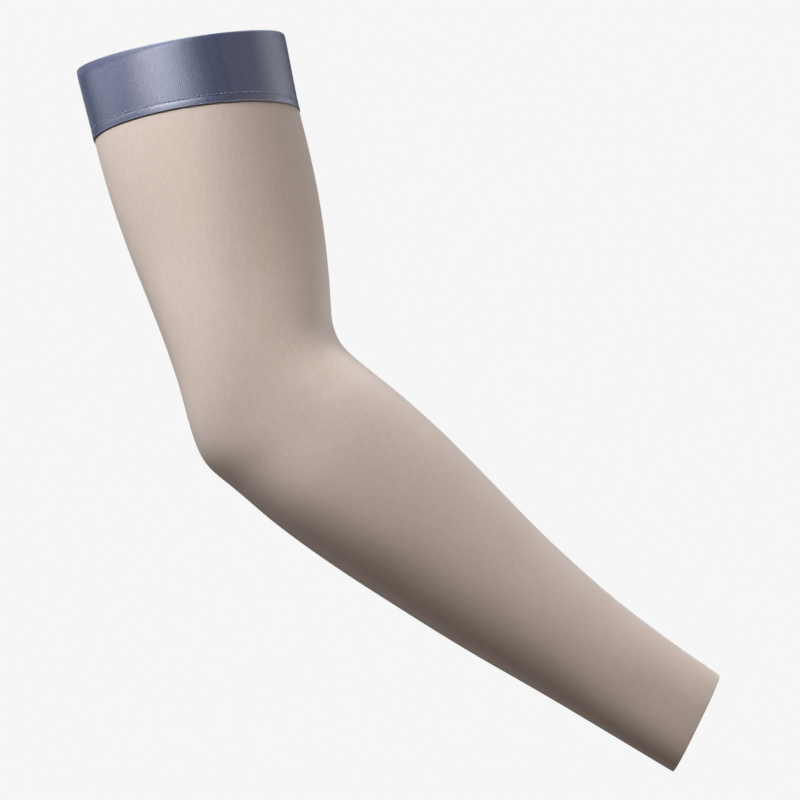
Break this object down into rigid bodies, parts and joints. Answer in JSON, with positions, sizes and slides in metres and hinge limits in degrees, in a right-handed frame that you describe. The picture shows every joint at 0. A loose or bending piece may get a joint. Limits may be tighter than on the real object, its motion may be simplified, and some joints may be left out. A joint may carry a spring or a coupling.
{
  "type": "arm warmer",
  "caption": "Thermal arm warmer in its worn form: a brushed-knit sleeve bent at the elbow, open at the wrist, with a wide elastic gripper band lapped over its top.",
  "frame": {"origin": "middle of the gripper band's top opening, where the upper arm goes in", "axes": "+Z leaves the top opening square to it, towards the shoulder; +X points to the crook side of the elbow; Y runs across the arm"},
  "size_m": [0.2581, 0.0926, 0.3936],
  "materials": {
    "brushed_knit": "matte brushed thermal knit, taupe",
    "satin_elastic": "satin woven elastic, slate blue"
  },
  "bodies": {
    "root": {"sleeve": "brushed_knit", "gripper_band": "satin_elastic"}
  },
  "joints": []
}
